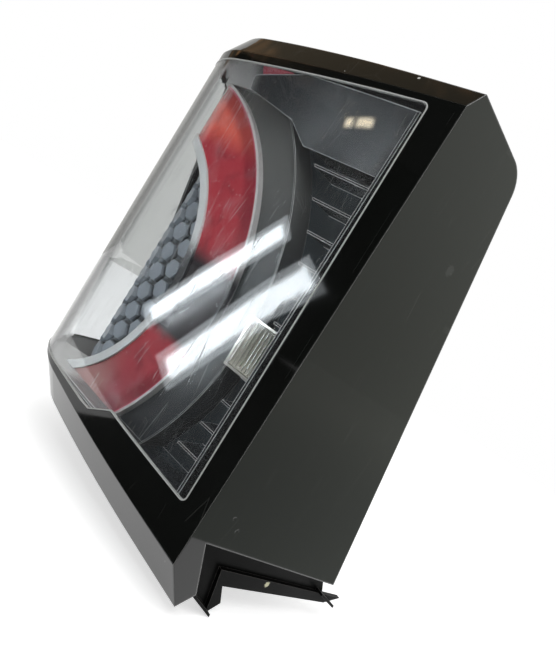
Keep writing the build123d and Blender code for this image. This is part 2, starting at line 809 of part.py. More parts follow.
def brow_wall(d_forward, thickness):
    edge = BEZEL_EDGE_DEPTH - d_forward
    return slanted_wall(BROW_DEPTH - d_forward, BEZEL_CEILING, edge, BEZEL_BROW, thickness)


def hood_zone(lift):
    """Front view of the hood, through the whole depth and lifted by a clearance."""
    outline = make_face(Polyline(
        (-HOOD_TIP, BEZEL_CEILING - HOOD_TIP_DROP),
        (-HOOD_TIP, BEZEL_CEILING + HOOD_TIP_RISE),
        (-HOOD_SHOULDER, BEZEL_BROW),
        (-BEZEL_RIGHT, BEZEL_BROW),
        (-BEZEL_RIGHT, TOP_RIB_Z),
        (-HOOD_FOOT, TOP_RIB_Z),
        (-HOOD_SHOULDER, BEZEL_CEILING - HOOD_BEND_DROP),
        close=True,
    ))
    tip = outline.vertices().sort_by_distance((-HOOD_TIP, BEZEL_BROW, 0))[0]
    outline = Pos(0, -FAR, lift) * (Plane.XZ * fillet(tip, HOOD_CORNER))
    return extrude(outline, amount=2 * FAR, dir=(0, 1, 0))


def hood():
    """Smooth slanted panel between the ring, the brow and the right side of the tray."""
    return slanted_wall(RIB_DEPTH, TOP_RIB_Z, BEZEL_EDGE_DEPTH, BEZEL_BROW, BEZEL_WALL) & hood_zone(0)


def rib_heights():
    count = int((TOP_RIB_Z - RIB_FIRST) / RIB_PITCH) + 1
    return [RIB_FIRST + i * RIB_PITCH for i in range(count)] + [TOP_RIB_Z]


def inner_bezel():
    tray = band(BEZEL_DEPTH, BEZEL_BACK, BEZEL_FLOOR, BEZEL_CEILING)
    tray += band(BEZEL_EDGE_DEPTH, BEZEL_BACK, BEZEL_FLOOR, RING_LOW)
    tray += band(BROW_DEPTH, BEZEL_BACK, BEZEL_CEILING, BEZEL_CEILING + BEZEL_WALL)
    tray += brow_wall(0, BEZEL_WALL)
    tray += hood()
    wall_left = -BEZEL_RIGHT - BEZEL_WALL
    tray += block(wall_left, -BEZEL_RIGHT, BEZEL_EDGE_DEPTH, BEZEL_BACK, BEZEL_FLOOR, BEZEL_BROW)
    inside_ribs = rod(RING_X, -FAR, FAR, RING_Z, RIB_CIRCLE)
    for z in rib_heights():
        tray += band(RIB_DEPTH, BEZEL_DEPTH, z, z + RIB_THICKNESS) - inside_ribs
    tray -= chin_strip(BEZEL_EDGE_DEPTH)
    tray -= reverse_form(FIT_GAP, REVERSE_DEPTH - BEZEL_WALL, BEZEL_BACK + BEZEL_WALL)
    for x, z in post_places():
        front, back = boss_faces(x)
        tray += prism(x, front, back, z, POST_RADIUS, SCREW_SIDES)
        tray -= prism(x, front, back, z, SCREW_RADIUS + SCREW_CLEARANCE, SCREW_SIDES)
    return tray


def bezel_screws():
    screws = []
    for x, z in post_places():
        seat = boss_faces(x)[0]
        head = prism(x, seat - SCREW_HEAD, seat, z, SCREW_HEAD_RADIUS, SCREW_HEAD_SIDES)
        screws.append(head + prism(x, seat, seat + SCREW_LENGTH, z, SCREW_RADIUS, SCREW_SIDES))
    return screws


def reflex_reflector():
    strip = brow_wall(REFLEX_THICKNESS, REFLEX_THICKNESS)
    top = REFLEX_BOTTOM + REFLEX_HEIGHT
    strip &= block(-REFLEX_LEFT, -REFLEX_RIGHT, 0, FAR, REFLEX_BOTTOM, top)
    return strip - hood_zone(FIT_GAP)


# Rings of the tail light

def ring_band(r_inner, r_outer, d_front, d_back, inset=0.0, turn=RING_TURN):
    low = RING_LOW + RING_GAP + inset
    high = BEZEL_CEILING - RING_GAP - inset
    return band(d_front, d_back, low, high, turn) & ring(r_inner, r_outer)


def clear_of_posts(piece):
    """Cuts room in a ring for each screw boss and the head of its screw."""
    for x, z in post_places():
        front, back = boss_faces(x)
        piece -= prism(x, front - SCREW_HEAD - FIT_GAP, back, z, POST_RADIUS + FIT_GAP, SCREW_SIDES)
    return piece


def end_turn_inside(wall):
    """Turn at which a hollow ends so that it leaves a wall at the ring's end."""
    return RING_TURN - degrees(wall / (CORNER_RADIUS - BEZEL_DEPTH))


def tail_lens():
    lens = ring_band(TAIL_INNER, TAIL_OUTER, TAIL_DEPTH, BEZEL_DEPTH)
    hollow = ring_band(TAIL_INNER + TAIL_WALL, TAIL_OUTER - TAIL_WALL, TAIL_DEPTH + TAIL_WALL,
                       BEZEL_DEPTH, TAIL_WALL, end_turn_inside(TAIL_WALL))
    return clear_of_posts(lens - hollow)


def inner_light_guide():
    return ring_band(GUIDE_INNER, TAIL_INNER - RING_GAP, GUIDE_DEPTH, BEZEL_DEPTH)


def outer_light_guide():
    return clear_of_posts(ring_band(TAIL_OUTER + RING_GAP, SWEEP_INNER - RING_GAP, GUIDE_DEPTH, BEZEL_DEPTH))


def sweep_band():
    sweep = ring_band(SWEEP_INNER, SWEEP_OUTER, SWEEP_DEPTH, BEZEL_DEPTH)
    sweep -= ring_band(SWEEP_INNER + SWEEP_WALL, SWEEP_OUTER - SWEEP_WALL, SWEEP_DEPTH + SWEEP_WALL,
                       BEZEL_DEPTH, SWEEP_WALL, end_turn_inside(SWEEP_WALL))
    sweep += ring_band(SWEEP_OUTER - SWEEP_LIP, SWEEP_OUTER, SWEEP_LIP_DEPTH, SWEEP_DEPTH + SWEEP_WALL)
    return clear_of_posts(sweep - reverse_form(FIT_GAP, 0, BEZEL_BACK))


def tail_board():
    return ring_band(TAIL_INNER + BOARD_MARGIN, TAIL_OUTER - BOARD_MARGIN, BEZEL_DEPTH - BOARD_THICKNESS,
                     BEZEL_DEPTH, BOARD_MARGIN, end_turn_inside(BOARD_MARGIN))


def tail_leds():
    radius = (TAIL_INNER + TAIL_OUTER) / 2
    leds = []
    for i in range(LED_COUNT):
        angle = radians(LED_FIRST + i * LED_STEP)
        x = RING_X + radius * cos(angle)
        y, turn = skin_at(x, BEZEL_DEPTH - BOARD_THICKNESS)
        chip = Box(LED_SIZE, LED_HEIGHT, LED_SIZE, align=(Align.CENTER, Align.MAX, Align.CENTER))
        leds.append(Pos(x, y, RING_Z + radius * sin(angle)) * Rot(0, 0, -degrees(turn)) * chip)
    return leds


def honeycomb_panel():
    front = BEZEL_DEPTH - HEX_BASE
    rim = GUIDE_INNER - RING_GAP
    disc = rod(RING_X, -FAR, FAR, RING_Z, rim)
    panel = band(front, BEZEL_DEPTH, RING_LOW + RING_GAP, BEZEL_CEILING - RING_GAP)
    pad = RegularPolygon((HEX_PITCH - HEX_GAP) / sqrt(3), 6)
    pad = extrude(pad, amount=HEX_HEIGHT + HEX_SINK, taper=HEX_DRAFT)
    pads = []
    for column in HEX_COLUMNS:
        travel = column * HEX_PITCH * sqrt(3) / 2
        place, turn = skin_along(HEX_COLUMN_X, travel, front + HEX_SINK)
        if turn > radians(RING_TURN):
            continue
        for row in range(-HEX_ROWS, HEX_ROWS + 1):
            z = HEX_ROW_Z + (row + column % 2 / 2) * HEX_PITCH
            if hypot(place[0] - RING_X, z - RING_Z) < rim - HEX_GAP and z > RING_LOW + HEX_PITCH / 2:
                pads.append(Pos(place[0], place[1], z) * Rot(0, 0, -degrees(turn)) * Rot(90, 0, 0) * pad)
    return (panel + pads) & disc


def write(name, shape):
    place = Pos(STUD_CENTRE_X, -MOUNT_Y, -STUD_CENTRE_Z)
    shapes = shape if isinstance(shape, list) else [shape]
    solids = [place * solid for item in shapes for solid in item.solids()]
    piece = solids[0] if len(solids) == 1 else Compound(children=solids)
    export_step(piece, "parts/" + name + ".step")


def main():
    os.makedirs("parts", exist_ok=True)
    cover_frame, outer_lens = cover_pieces()
    pieces = {
        "cover_frame": cover_frame,
        "outer_lens": outer_lens,
        "rear_housing": rear_housing(),
        "lens_seal": lens_seal(),
        "body_gasket": body_gasket(),
        "mounting_studs": mounting_studs(),
        "locating_pin": locating_pin(),
        "vent_caps": vent_caps(),
        "module_case": module_case(),
        "module_lid": module_lid(),
        "module_board": module_board(),
        "connector_socket": connector_socket(),
        "connector_terminals": connector_terminals(),
        "reverse_reflector": reverse_reflector(),
        "reverse_lens": reverse_lens(),
        "reverse_board": reverse_board(),
        "reverse_led": reverse_led(),
        "inner_bezel": inner_bezel(),
        "bezel_screws": bezel_screws(),
        "reflex_reflector": reflex_reflector(),
        "tail_lens": tail_lens(),
        "inner_light_guide": inner_light_guide(),
        "outer_light_guide": outer_light_guide(),
        "sweep_band": sweep_band(),
        "tail_board": tail_board(),
        "tail_leds": tail_leds(),
        "honeycomb_panel": honeycomb_panel(),
    }
    for name, shape in pieces.items():
        write(name, shape)


main()
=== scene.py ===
from math import cos, pi, radians, sin

import bpy
from bpy.props import FloatProperty, FloatVectorProperty, PointerProperty
from mathutils import Matrix, Vector


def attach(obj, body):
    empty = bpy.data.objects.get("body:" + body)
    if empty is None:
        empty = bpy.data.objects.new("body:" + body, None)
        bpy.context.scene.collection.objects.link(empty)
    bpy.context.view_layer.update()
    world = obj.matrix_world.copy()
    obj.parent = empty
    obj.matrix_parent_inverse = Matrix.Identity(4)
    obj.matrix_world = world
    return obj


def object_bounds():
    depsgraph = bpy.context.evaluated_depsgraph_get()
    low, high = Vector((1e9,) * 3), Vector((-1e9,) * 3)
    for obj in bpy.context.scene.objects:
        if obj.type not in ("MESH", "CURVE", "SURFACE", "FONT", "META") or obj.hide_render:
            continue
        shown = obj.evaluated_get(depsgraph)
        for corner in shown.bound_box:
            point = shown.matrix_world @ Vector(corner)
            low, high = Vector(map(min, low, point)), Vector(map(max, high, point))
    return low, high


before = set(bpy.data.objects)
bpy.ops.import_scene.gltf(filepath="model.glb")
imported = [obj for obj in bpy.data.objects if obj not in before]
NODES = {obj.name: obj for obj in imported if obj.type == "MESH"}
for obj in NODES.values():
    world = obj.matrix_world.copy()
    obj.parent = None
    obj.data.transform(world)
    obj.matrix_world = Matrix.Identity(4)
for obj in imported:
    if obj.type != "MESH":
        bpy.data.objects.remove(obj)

bl_info = {
    "name": "Tail light cluster",
    "version": (1, 0, 0),
    "blender": (4, 5, 0),
    "location": "View3D > Sidebar > Tail light",
    "description": "Finishes, small trim and studio stage of a corner tail light cluster",
    "category": "Object",
}

CAD_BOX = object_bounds()
FLOOR_Z = CAD_BOX[0][2]

# Centre line of the round tail light, which runs along Y

RING_X = -0.134
RING_Z = -0.037

# Spans in metres over which a finish changes: the change starts at the first and is full at the second

LEFT_WALL_X = (-0.085, -0.100)
CLEAR_CORNER_X = (-0.035, -0.060)
TRAY_DEEP_PAINTED_LIGHT_Y = (-0.153, -0.142)
SWEEP_PAINTED_LIGHT_Z = (0.0, 0.09)
RING_ORANGE_Z = (0.080, 0.102)
RING_LOWER_Z = (-0.08, -0.16)
RING_PAINTED_REFLECTION_X = (-0.004, -0.030)
RING_DEEP_RADIUS = (0.1625, 0.1715)
RING_RIM_RADIUS = (0.1775, 0.1788)
MIDDLE_BOTTOM_Z = (-0.076, -0.064)
MIDDLE_TOP_Z = (0.012, -0.008)
HOUSING_INNER_X = (0.135, 0.115)

# Small marks: place and size in metres

PRINT_MARK = ((0.1628, -0.108, 0.0871), 0.005)
CHIP_MARK = ((0.0953, -0.1733, 0.1818), 0.0013)
PIT_MARKS = (((0.1500, -0.1560, -0.1382), 0.0018), ((0.1523, -0.1471, -0.1476), 0.0020))
PAINT_MARK = ((0.1639, -0.0731, -0.1934), 0.0030)

# Other sizes in metres, and the angle that makes an edge of the lens a sharp one

THREAD_PITCH = 0.001
GROOVE_REACH = 0.005
MERGE_DISTANCE = 0.00001
WINDOW_EDGE_ANGLE = radians(40)

# Properties of the materials, and how far a colour is raised or lowered to make another

CLEAR_IOR = 1.49
GLOSS_IOR = 1.5
SATIN_SPECULAR = 0.3
MATTE_SPECULAR = 0.05
RUBBED_GAIN = 1.5
RUBBED_LIFT = 0.003
FROST_SHADE = 0.8
HIGHLIGHT_GAIN = (1.4, 5.0, 4.5)

# Camera's sensor in millimetres and nearest distance in metres, and the lamps that the lens mirrors

SENSOR_WIDTH = 36.0
NEAREST_SEEN = 0.01
FITTING_GLOW = 0.22
WARM_GLOW = 9.0
BULB_SOFTNESS = 0.18

# Cosine of the turn at which a sharp edge starts to show, and shows in full

EDGE_COSINE = (0.97, 0.80)

# Fixed colours

BLACK = (0, 0, 0, 1)
WHITE = (1, 1, 1, 1)
# Pale colour of the cover's real wear, also used as a painted highlight along its sharp edges
COVER_WEAR_AND_EDGE_HIGHLIGHT = (0.24, 0.24, 0.23, 1)
COVER_PRINT = (0.030, 0.031, 0.030, 1)
COVER_CHIP = (0.60, 0.60, 0.57, 1)
COVER_CORNER_PAINTED_LIGHT = (0.50, 0.50, 0.49, 1)
LENS_CLEAR = (0.91, 0.925, 0.93, 1)
LENS_RIM_PAINTED_SHADE = (0.08, 0.08, 0.08, 1)
BEAD_GREY = (0.42, 0.43, 0.42, 1)
TRAY_DEEP_PAINTED_LIGHT = (0.042, 0.058, 0.068, 1)
TRAY_CORNER_PAINTED_LIGHT = (0.45, 0.45, 0.445, 1)
TRAY_WEAR_AND_EDGE_HIGHLIGHT = (0.92, 0.94, 0.95, 1)
SWEEP_PAINTED_LIGHT = (0.135, 0.138, 0.136, 1)
SWEEP_WEAR_AND_EDGE_HIGHLIGHT = (0.85, 0.87, 0.87, 1)
HONEYCOMB_GROOVE_SHADE = (0.004, 0.004, 0.005, 1)
HONEYCOMB_EDGE_HIGHLIGHT = (0.40, 0.43, 0.46, 1)
RING_ORANGE = (0.98, 0.165, 0.115, 1)
RING_LOWER = (0.43, 0.100, 0.130, 1)
RING_CLOUD = (0.16, 0.012, 0.026, 1)
RING_DEEP = (0.24, 0.010, 0.026, 1)
RING_PAINTED_REFLECTION = (0.50, 0.21, 0.19, 1)
RING_PAINTED_SHEEN = (0.78, 0.60, 0.63, 1)
RING_SCUFF = (0.8, 0.7, 0.7, 1)
RING_MIDDLE = (0.022, 0.014, 0.020, 1)
GUIDE_MIDDLE = (0.03, 0.032, 0.038, 1)
CUP_CHROME = (0.88, 0.87, 0.82, 1)
REVERSE_CLEAR = (0.96, 0.96, 0.92, 1)
PHOSPHOR = (0.85, 0.72, 0.28, 1)
CHIP_RESIN = (0.62, 0.20, 0.16, 1)
ALUMINIUM = (0.60, 0.61, 0.62, 1)
HOUSING_INNER = (0.024, 0.024, 0.025, 1)
HOUSING_WIPED = (0.030, 0.030, 0.030, 1)
HOUSING_EDGE = (0.13, 0.125, 0.12, 1)
PAINT_DOT = (0.80, 0.78, 0.55, 1)
FOAM_BLACK = (0.016, 0.016, 0.017, 1)
SEAL_BLACK = (0.014, 0.014, 0.014, 1)
NYLON = (0.50, 0.50, 0.47, 1)
ZINC = (0.62, 0.63, 0.62, 1)
TINNED_BRASS = (0.72, 0.66, 0.50, 1)
FLOOR_WHITE = (0.86, 0.86, 0.86, 1)
TUBE_LIGHT = (0.90, 0.96, 1.0, 1)
WARM_LIGHT = (1.0, 0.86, 0.62, 1)
FLAG_BLACK = (0.002, 0.002, 0.002, 1)
FLAG_DARK = (0.01, 0.01, 0.01, 1)
FLAG_BROWN = (0.09, 0.07, 0.045, 1)
FLAG_AMBER = (0.85, 0.45, 0.20, 1)
CARD_DARK = (0.42, 0.45, 0.41, 1)
CARD_GREY = (0.62, 0.65, 0.58, 1)
CARD_LIGHT = (0.88, 0.92, 0.84, 1)
CARD_PALE = (0.72, 0.72, 0.70, 1)


# Sizes and colours that a user would change

class LampFinishes(bpy.types.PropertyGroup):
    gloss_black: FloatVectorProperty(
        name="Gloss black", description="Colour of the moulded cover",
        subtype="COLOR", size=4, min=0, max=1, default=(0.004, 0.0045, 0.004, 1))
    housing_black: FloatVectorProperty(
        name="Housing black", description="Colour of the matte rear housing",
        subtype="COLOR", size=4, min=0, max=1, default=(0.003, 0.0031, 0.003, 1))
    tray_grey: FloatVectorProperty(
        name="Tray grey", description="Colour of the dark tray behind the lens",
        subtype="COLOR", size=4, min=0, max=1, default=(0.011, 0.014, 0.018, 1))
    sweep_grey: FloatVectorProperty(
        name="Sweep band grey", description="Colour of the smooth band round the ring",
        subtype="COLOR", size=4, min=0, max=1, default=(0.028, 0.033, 0.037, 1))
    honeycomb_grey: FloatVectorProperty(
        name="Honeycomb grey", description="Colour of the raised hexagons",
        subtype="COLOR", size=4, min=0, max=1, default=(0.28, 0.32, 0.365, 1))
    signal_red: FloatVectorProperty(
        name="Signal red", description="Colour of the tail light and the reflex strip",
        subtype="COLOR", size=4, min=0, max=1, default=(0.55, 0.042, 0.064, 1))
    guide_white: FloatVectorProperty(
        name="Guide white", description="Colour of the light guide inside the red ring",
        subtype="COLOR", size=4, min=0, max=1, default=(0.90, 0.94, 0.94, 1))
    edge_white: FloatVectorProperty(
        name="Edge white", description="Colour of the thin guide outside the red ring",
        subtype="COLOR", size=4, min=0, max=1, default=(0.75, 0.73, 0.72, 1))
    board_green: FloatVectorProperty(
        name="Board green", description="Colour of the circuit boards",
        subtype="COLOR", size=4, min=0, max=1, default=(0.015, 0.12, 0.045, 1))
    crease_radius: FloatProperty(
        name="Crease radius", description="Rounding that the shading shows on the cover's edges",
        subtype="DISTANCE", unit="LENGTH", min=0, default=0.0017)
    bead_radius: FloatProperty(
        name="Bead radius", description="Radius of the weld bead round the window",
        subtype="DISTANCE", unit="LENGTH", min=0.0001, default=0.0006)


class LampStage(bpy.types.PropertyGroup):
    camera_place: FloatVectorProperty(
        name="Camera place", description="Where the camera stands",
        subtype="TRANSLATION", unit="LENGTH", size=3, default=(0.3305, -0.5185, 0.0181))
    camera_yaw: FloatProperty(
        name="Camera yaw", description="Turn of the camera to the right of the front",
        subtype="ANGLE", default=radians(33.0))
    camera_pitch: FloatProperty(
        name="Camera pitch", description="How far the camera looks down",
        subtype="ANGLE", default=radians(4.0))
    camera_roll: FloatProperty(
        name="Camera roll", description="Tilt of the camera about its own axis",
        subtype="ANGLE", default=radians(32.37))
    focal_length: FloatProperty(
        name="Focal length", description="Focal length of the camera, in millimetres",
        min=1, default=33.13)
    key_power: FloatProperty(
        name="Key light", description="Power of the large soft light, in watts", min=0, default=10.0)
    streak_glow: FloatProperty(
        name="Streak glow", description="Strength of the two soft tubes that the gloss mirrors",
        min=0, default=12.0)
    world_level: FloatProperty(
        name="Room light", description="Strength of the even light of the room", min=0, default=0.55)
    floor_glow: FloatProperty(
        name="Floor glow", description="Light that brings the floor up to white", min=0, default=0.62)


# Small helpers for node trees

def give(tree, target, value):
    """Feeds an input from a socket, or sets it to a plain value."""
    if isinstance(value, bpy.types.NodeSocket):
        tree.links.new(value, target)
    else:
        target.default_value = value


def add_node(tree, kind, inputs=None, **settings):
    """Adds a node with its settings, then gives it its inputs, by name or by number."""
    node = tree.nodes.new(kind)
    for name, value in settings.items():
        setattr(node, name, value)
    for key, value in (inputs or {}).items():
        give(tree, node.inputs[key], value)
    return node


def math_node(tree, operation, first, second=0.0):
    return add_node(tree, "ShaderNodeMath", {0: first, 1: second}, operation=operation).outputs[0]


def map_range(tree, value, start, end, low=0.0, high=1.0):
    """Smooth change from low to high while a value goes from its start to its end."""
    spans = {"Value": value, "From Min": start, "From Max": end, "To Min": low, "To Max": high}
    return add_node(tree, "ShaderNodeMapRange", spans, interpolation_type="SMOOTHSTEP").outputs[0]


def mix_colour(tree, mask, first, second):
    node = add_node(tree, "ShaderNodeMix", {0: mask}, data_type="RGBA")
    colours = [socket for socket in node.inputs if socket.type == "RGBA"]
    give(tree, colours[0], first)
    give(tree, colours[1], second)
    return [socket for socket in node.outputs if socket.type == "RGBA"][0]


def noise(tree, vector, **inputs):
    return add_node(tree, "ShaderNodeTexNoise", {"Vector": vector, **inputs}).outputs["Fac"]


def split_xyz(tree, vector):
    return add_node(tree, "ShaderNodeSeparateXYZ", {0: vector}).outputs


# Effects that more than one material uses, as node groups

def new_group(name, inputs, outputs):
    """New group with a Vector and the given numbers as inputs, and the sockets to build between."""
    tree = bpy.data.node_groups.new(name, "ShaderNodeTree")
    tree.interface.new_socket("Vector", in_out="INPUT", socket_type="NodeSocketVector")
    for label, default in inputs.items():
        socket = tree.interface.new_socket(label, in_out="INPUT", socket_type="NodeSocketFloat")
        socket.default_value = default
    for label in outputs:
        tree.interface.new_socket(label, in_out="OUTPUT", socket_type="NodeSocketFloat")
    return tree, tree.nodes.new("NodeGroupInput").outputs, tree.nodes.new("NodeGroupOutput").inputs


def build_moulded_grain():
    """Fine texture of moulded plastic: a roughness that wanders and a height."""
    tree, given, result = new_group(
        "moulded_grain", {"Scale": 900.0, "Low": 0.3, "High": 0.5}, ["Roughness", "Height"])
    fine = noise(tree, given["Vector"], Scale=given["Scale"], Detail=2.0)
    broad = noise(tree, given["Vector"], Scale=22.0, Detail=3.0)
    blend = math_node(tree, "MULTIPLY", math_node(tree, "ADD", fine, broad), 0.5)
    rough = map_range(tree, blend, start=0.35, end=0.65, low=given["Low"], high=given["High"])
    give(tree, result["Roughness"], rough)
    give(tree, result["Height"], fine)
    return tree


def build_hairline_scratches():
    """Long thin scratches in two directions, broken up by patches."""
    tree, given, result = new_group("hairline_scratches", {"Scale": 60.0, "Width": 0.012}, ["Mask"])
    masks = []
    for turn, stretch in ((0.5, 0.05), (2.2, 0.08)):
        place = add_node(tree, "ShaderNodeMapping", {
            "Vector": given["Vector"], "Rotation": (0.0, turn, 0.0), "Scale": (1.0, 1.0, stretch)})
        cells = add_node(tree, "ShaderNodeTexVoronoi", {
            "Vector": place.outputs[0], "Scale": given["Scale"]}, feature="DISTANCE_TO_EDGE")
        masks.append(math_node(tree, "LESS_THAN", cells.outputs["Distance"], given["Width"]))
    patches = map_range(tree, noise(tree, given["Vector"], Scale=38.0), start=0.50, end=0.62)
    both = math_node(tree, "MAXIMUM", masks[0], masks[1])
    give(tree, result["Mask"], math_node(tree, "MULTIPLY", both, patches))
    return tree


def build_dust_specks():
    """Scattered specks of dust, a few of the cells of a fine pattern."""
    tree, given, result = new_group("dust_specks", {"Scale": 160.0, "Size": 0.12, "Share": 0.25}, ["Mask"])
    cells = add_node(tree, "ShaderNodeTexVoronoi", {"Vector": given["Vector"], "Scale": given["Scale"]})
    spot = math_node(tree, "LESS_THAN", cells.outputs["Distance"], given["Size"])
    draw = add_node(tree, "ShaderNodeSeparateColor", {0: cells.outputs["Color"]}).outputs[0]
    chosen = math_node(tree, "LESS_THAN", draw, given["Share"])
    give(tree, result["Mask"], math_node(tree, "MULTIPLY", spot, chosen))
    return tree


def build_hand_smudges():
    """Soft wiped patches, as hands leave on gloss."""
    tree, given, result = new_group("hand_smudges", {"Scale": 14.0}, ["Mask"])
    wipe = noise(tree, given["Vector"], Scale=given["Scale"], Detail=5.0, Distortion=0.8)
    give(tree, result["Mask"], map_range(tree, wipe, start=0.48, end=0.72))
    return tree


def build_ring_radius():
    """Distance from the centre line of the round tail light, in metres."""
    tree, given, result = new_group("ring_radius", {}, ["Radius"])
    place = split_xyz(tree, given["Vector"])
    across = math_node(tree, "SUBTRACT", place["X"], RING_X)
    rise = math_node(tree, "SUBTRACT", place["Z"], RING_Z)
    squares = [math_node(tree, "POWER", leg, 2.0) for leg in (across, rise)]
    give(tree, result["Radius"], math_node(tree, "SQRT", math_node(tree, "ADD", *squares)))
    return tree


def build_round_mark():
    """One small mark about a point of the object, with a ragged edge."""
    tree, given, result = new_group("round_mark", {"X": 0.0, "Y": 0.0, "Z": 0.0, "Size": 0.002}, ["Mask"])
    centre = add_node(tree, "ShaderNodeCombineXYZ", {axis: given[axis] for axis in "XYZ"})
    reach = add_node(tree, "ShaderNodeVectorMath", {
        0: given["Vector"], 1: centre.outputs[0]}, operation="DISTANCE")
    share = math_node(tree, "DIVIDE", reach.outputs["Value"], given["Size"])
    share = math_node(tree, "ADD", share, noise(tree, given["Vector"], Scale=900.0))
    give(tree, result["Mask"], map_range(tree, share, start=1.5, end=1.1))
    return tree


def build_dark_middle():
    """Stretch of the ring between its two arms, where the red lens and the guides are painted dark."""
    tree, given, result = new_group("dark_middle", {}, ["Mask"])
    height = split_xyz(tree, given["Vector"])["Z"]
    under = map_range(tree, height, *MIDDLE_TOP_Z)
    over = map_range(tree, height, *MIDDLE_BOTTOM_Z)
    give(tree, result["Mask"], math_node(tree, "MULTIPLY", under, over))
    return tree


BUILDERS = {
    "round_mark": build_round_mark,
    "dark_middle": build_dark_middle,
    "moulded_grain": build_moulded_grain,
    "hairline_scratches": build_hairline_scratches,
    "dust_specks": build_dust_specks,
    "hand_smudges": build_hand_smudges,
    "ring_radius": build_ring_radius,
}


class Finish:
    """One material: its Principled shader, its coordinates, its colour so far and the shared effects."""

    def __init__(self, name, colour, **values):
        self.material = bpy.data.materials.new(name)
        self.material.use_nodes = True
        self.tree = self.material.node_tree
        self.shader = self.tree.nodes["Principled BSDF"]
        self.place = add_node(self.tree, "ShaderNodeTexCoord").outputs["Object"]
        self.colour = tuple(colour)
        self.feed("Base Color", self.colour)
        for label, value in values.items():
            self.feed(label.replace("_", " "), value)

    def feed(self, name, value):
        give(self.tree, self.shader.inputs[name], value)

    def effect(self, name, **values):
        """Outputs of a shared effect with its own values."""
        group = bpy.data.node_groups.get(name) or BUILDERS[name]()
        node = add_node(self.tree, "ShaderNodeGroup", node_tree=group)
        give(self.tree, node.inputs["Vector"], self.place)
        for label, value in values.items():
            give(self.tree, node.inputs[label], value)
        return node.outputs

    def mask(self, name, **values):
        return self.effect(name, **values)["Mask"]

    def mark(self, place, size):
        return self.mask("round_mark", X=place[0], Y=place[1], Z=place[2], Size=size)

    def axis(self, name):
        return split_xyz(self.tree, self.place)[name]

    def fade(self, axis, span):
        """Mask that goes from nothing to full over a span of one axis."""
        return map_range(self.tree, self.axis(axis), *span)

    def share(self, mask, amount):
        return math_node(self.tree, "MULTIPLY", mask, amount)

    def either(self, first, second):
        return math_node(self.tree, "MAXIMUM", first, second)

    def paint(self, mask, colour):
        """Lays a colour over the colour so far, as far as the mask says."""
        self.colour = mix_colour(self.tree, mask, self.colour, colour)
        self.feed("Base Color", self.colour)

    def grain(self, scale, low, high, depth=0.0):
        """Roughness that wanders from low to high, and a fine relief where a depth is given."""
        texture = self.effect("moulded_grain", Scale=scale, Low=low, High=high)
        self.feed("Roughness", texture["Roughness"])
        if depth:
            self.bump(texture["Height"], depth)
        return texture["Height"]

    def bump(self, height, distance, strength=1.0):
        node = add_node(self.tree, "ShaderNodeBump", {
            "Strength": strength, "Distance": distance, "Height": height})
        self.feed("Normal", node.outputs[0])
        return node

    def rounded_edges(self, radius):
        return add_node(self.tree, "ShaderNodeBevel", {"Radius": radius}, samples=6).outputs[0]

    def edges(self, radius):
        """Mask of the sharp edges: where a rounded normal leaves the real one."""
        geometry = add_node(self.tree, "ShaderNodeNewGeometry")
        cosine = add_node(self.tree, "ShaderNodeVectorMath", {
            0: self.rounded_edges(radius), 1: geometry.outputs["Normal"]}, operation="DOT_PRODUCT")
        return map_range(self.tree, cosine.outputs["Value"], *EDGE_COSINE)

    def let_shadows_through(self):
        """Clear plastic lets the lamps light what is behind it."""
        path = add_node(self.tree, "ShaderNodeLightPath")
        clear = add_node(self.tree, "ShaderNodeBsdfTransparent")
        blend = add_node(self.tree, "ShaderNodeMixShader", {
            0: path.outputs["Is Shadow Ray"], 1: self.shader.outputs[0], 2: clear.outputs[0]})
        give(self.tree, self.tree.nodes["Material Output"].inputs["Surface"], blend.outputs[0])

    def put_on(self, *names):
        for name in names:
            target = NODES[name]
            if not target.material_slots:
                target.data.materials.append(self.material)
            for slot in target.material_slots:
                slot.material = self.material


def moulded(name, colour, nodes, scale, low, high, depth):
    """Plain moulded plastic with a grain, slightly paler where it is rubbed."""
    finish = Finish(name, colour)
    rubbed = tuple(min(1.0, channel * RUBBED_GAIN + RUBBED_LIFT) for channel in colour[:3]) + (1,)
    finish.paint(finish.mask("hand_smudges", Scale=18.0), rubbed)
    finish.grain(scale, low, high, depth)
    finish.put_on(*nodes)


def plated(name, colour, node, metallic, scale, low, high, depth=0.0):
    """Metal, or plastic with a thin coat of metal, with a roughness that wanders."""
    finish = Finish(name, colour, Metallic=metallic)
    finish.grain(scale, low, high, depth)
    finish.put_on(node)


# Operators, one for each piece or group of like pieces

